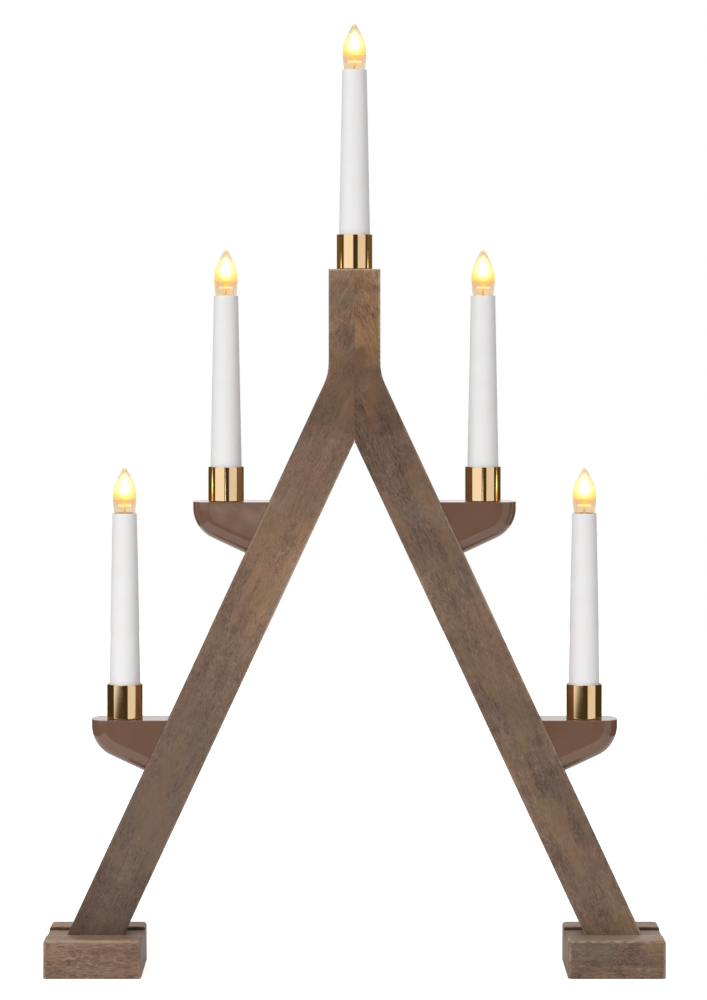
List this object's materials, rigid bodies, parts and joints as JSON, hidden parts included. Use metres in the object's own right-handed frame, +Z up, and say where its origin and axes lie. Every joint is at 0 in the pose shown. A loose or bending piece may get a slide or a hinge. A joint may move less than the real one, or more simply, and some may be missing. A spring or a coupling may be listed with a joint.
{
  "type": "electric advent candlestick",
  "caption": "Two leaning wooden legs joined in a neck, on grooved feet, with side shelves and brass cups that hold slim electric candles with flame-shaped bulbs.",
  "frame": {"origin": "on the floor, midway between the two feet", "axes": "+Z up, -Y to the front, +X to the viewer's right"},
  "size_m": [0.4078, 0.0776, 0.626],
  "materials": {
    "stained_wood": "satin",
    "foot_wood": "satin",
    "dowel_wood": "matte",
    "shelf_plastic": "gloss",
    "polished_brass": "polished",
    "sleeve_plastic": "satin",
    "holder_plastic": "matte",
    "contact_brass": "satin",
    "cap_nickel": "polished",
    "bulb_glass": "clear",
    "warm_light": "glowing",
    "screw_steel": "satin",
    "lead_sheath": "matte",
    "gland_rubber": "matte"
  },
  "bodies": {
    "frame": {"left_leg": "stained_wood", "right_leg": "stained_wood", "left_foot": "foot_wood", "right_foot": "foot_wood", "upper_neck_dowel": "dowel_wood", "lower_neck_dowel": "dowel_wood", "left_foot_screw": "screw_steel", "right_foot_screw": "screw_steel", "left_lead": "lead_sheath", "right_lead": "lead_sheath", "cord_gland": "gland_rubber", "upper_left_shelf": "shelf_plastic", "upper_left_shelf_screw": "screw_steel", "upper_right_shelf": "shelf_plastic", "upper_right_shelf_screw": "screw_steel", "lower_left_shelf": "shelf_plastic", "lower_left_shelf_screw": "screw_steel", "lower_right_shelf": "shelf_plastic", "lower_right_shelf_screw": "screw_steel", "top_cup": "polished_brass", "upper_left_cup": "polished_brass", "upper_right_cup": "polished_brass", "lower_left_cup": "polished_brass", "lower_right_cup": "polished_brass"},
    "top_candle": {"top_candle_sleeve": "sleeve_plastic", "top_lamp_holder": "holder_plastic", "top_screw_shell": "contact_brass", "top_centre_contact": "contact_brass"},
    "top_bulb": {"top_bulb_cap": "cap_nickel", "top_bulb_glass": "bulb_glass", "top_light_body": "warm_light"},
    "upper_left_candle": {"upper_left_candle_sleeve": "sleeve_plastic", "upper_left_lamp_holder": "holder_plastic", "upper_left_screw_shell": "contact_brass", "upper_left_centre_contact": "contact_brass"},
    "upper_left_bulb": {"upper_left_bulb_cap": "cap_nickel", "upper_left_bulb_glass": "bulb_glass", "upper_left_light_body": "warm_light"},
    "upper_right_candle": {"upper_right_candle_sleeve": "sleeve_plastic", "upper_right_lamp_holder": "holder_plastic", "upper_right_screw_shell": "contact_brass", "upper_right_centre_contact": "contact_brass"},
    "upper_right_bulb": {"upper_right_bulb_cap": "cap_nickel", "upper_right_bulb_glass": "bulb_glass", "upper_right_light_body": "warm_light"},
    "lower_left_candle": {"lower_left_candle_sleeve": "sleeve_plastic", "lower_left_lamp_holder": "holder_plastic", "lower_left_screw_shell": "contact_brass", "lower_left_centre_contact": "contact_brass"},
    "lower_left_bulb": {"lower_left_bulb_cap": "cap_nickel", "lower_left_bulb_glass": "bulb_glass", "lower_left_light_body": "warm_light"},
    "lower_right_candle": {"lower_right_candle_sleeve": "sleeve_plastic", "lower_right_lamp_holder": "holder_plastic", "lower_right_screw_shell": "contact_brass", "lower_right_centre_contact": "contact_brass"},
    "lower_right_bulb": {"lower_right_bulb_cap": "cap_nickel", "lower_right_bulb_glass": "bulb_glass", "lower_right_light_body": "warm_light"}
  },
  "joints": [
    {"name": "top_candle_lift", "type": "slide", "parent": "frame", "child": "top_candle", "axis": [0, 0, 1], "range_m": [0, 0.025]},
    {"name": "top_bulb_screw", "type": "hinge", "parent": "top_candle", "child": "top_bulb", "pos_m": [0, 0, 0.5844], "axis": [0, 0, 1], "range_deg": [0, 1440]},
    {"name": "upper_left_candle_lift", "type": "slide", "parent": "frame", "child": "upper_left_candle", "axis": [0, 0, 1], "range_m": [0, 0.025]},
    {"name": "upper_left_bulb_screw", "type": "hinge", "parent": "upper_left_candle", "child": "upper_left_bulb", "pos_m": [-0.08496, 0, 0.431], "axis": [0, 0, 1], "range_deg": [0, 1440]},
    {"name": "upper_right_candle_lift", "type": "slide", "parent": "frame", "child": "upper_right_candle", "axis": [0, 0, 1], "range_m": [0, 0.025]},
    {"name": "upper_right_bulb_screw", "type": "hinge", "parent": "upper_right_candle", "child": "upper_right_bulb", "pos_m": [0.08496, 0, 0.431], "axis": [0, 0, 1], "range_deg": [0, 1440]},
    {"name": "lower_left_candle_lift", "type": "slide", "parent": "frame", "child": "lower_left_candle", "axis": [0, 0, 1], "range_m": [0, 0.025]},
    {"name": "lower_left_bulb_screw", "type": "hinge", "parent": "lower_left_candle", "child": "lower_left_bulb", "pos_m": [-0.15216, 0, 0.2869], "axis": [0, 0, 1], "range_deg": [0, 1440]},
    {"name": "lower_right_candle_lift", "type": "slide", "parent": "frame", "child": "lower_right_candle", "axis": [0, 0, 1], "range_m": [0, 0.025]},
    {"name": "lower_right_bulb_screw", "type": "hinge", "parent": "lower_right_candle", "child": "lower_right_bulb", "pos_m": [0.15216, 0, 0.2869], "axis": [0, 0, 1], "range_deg": [0, 1440]}
  ]
}
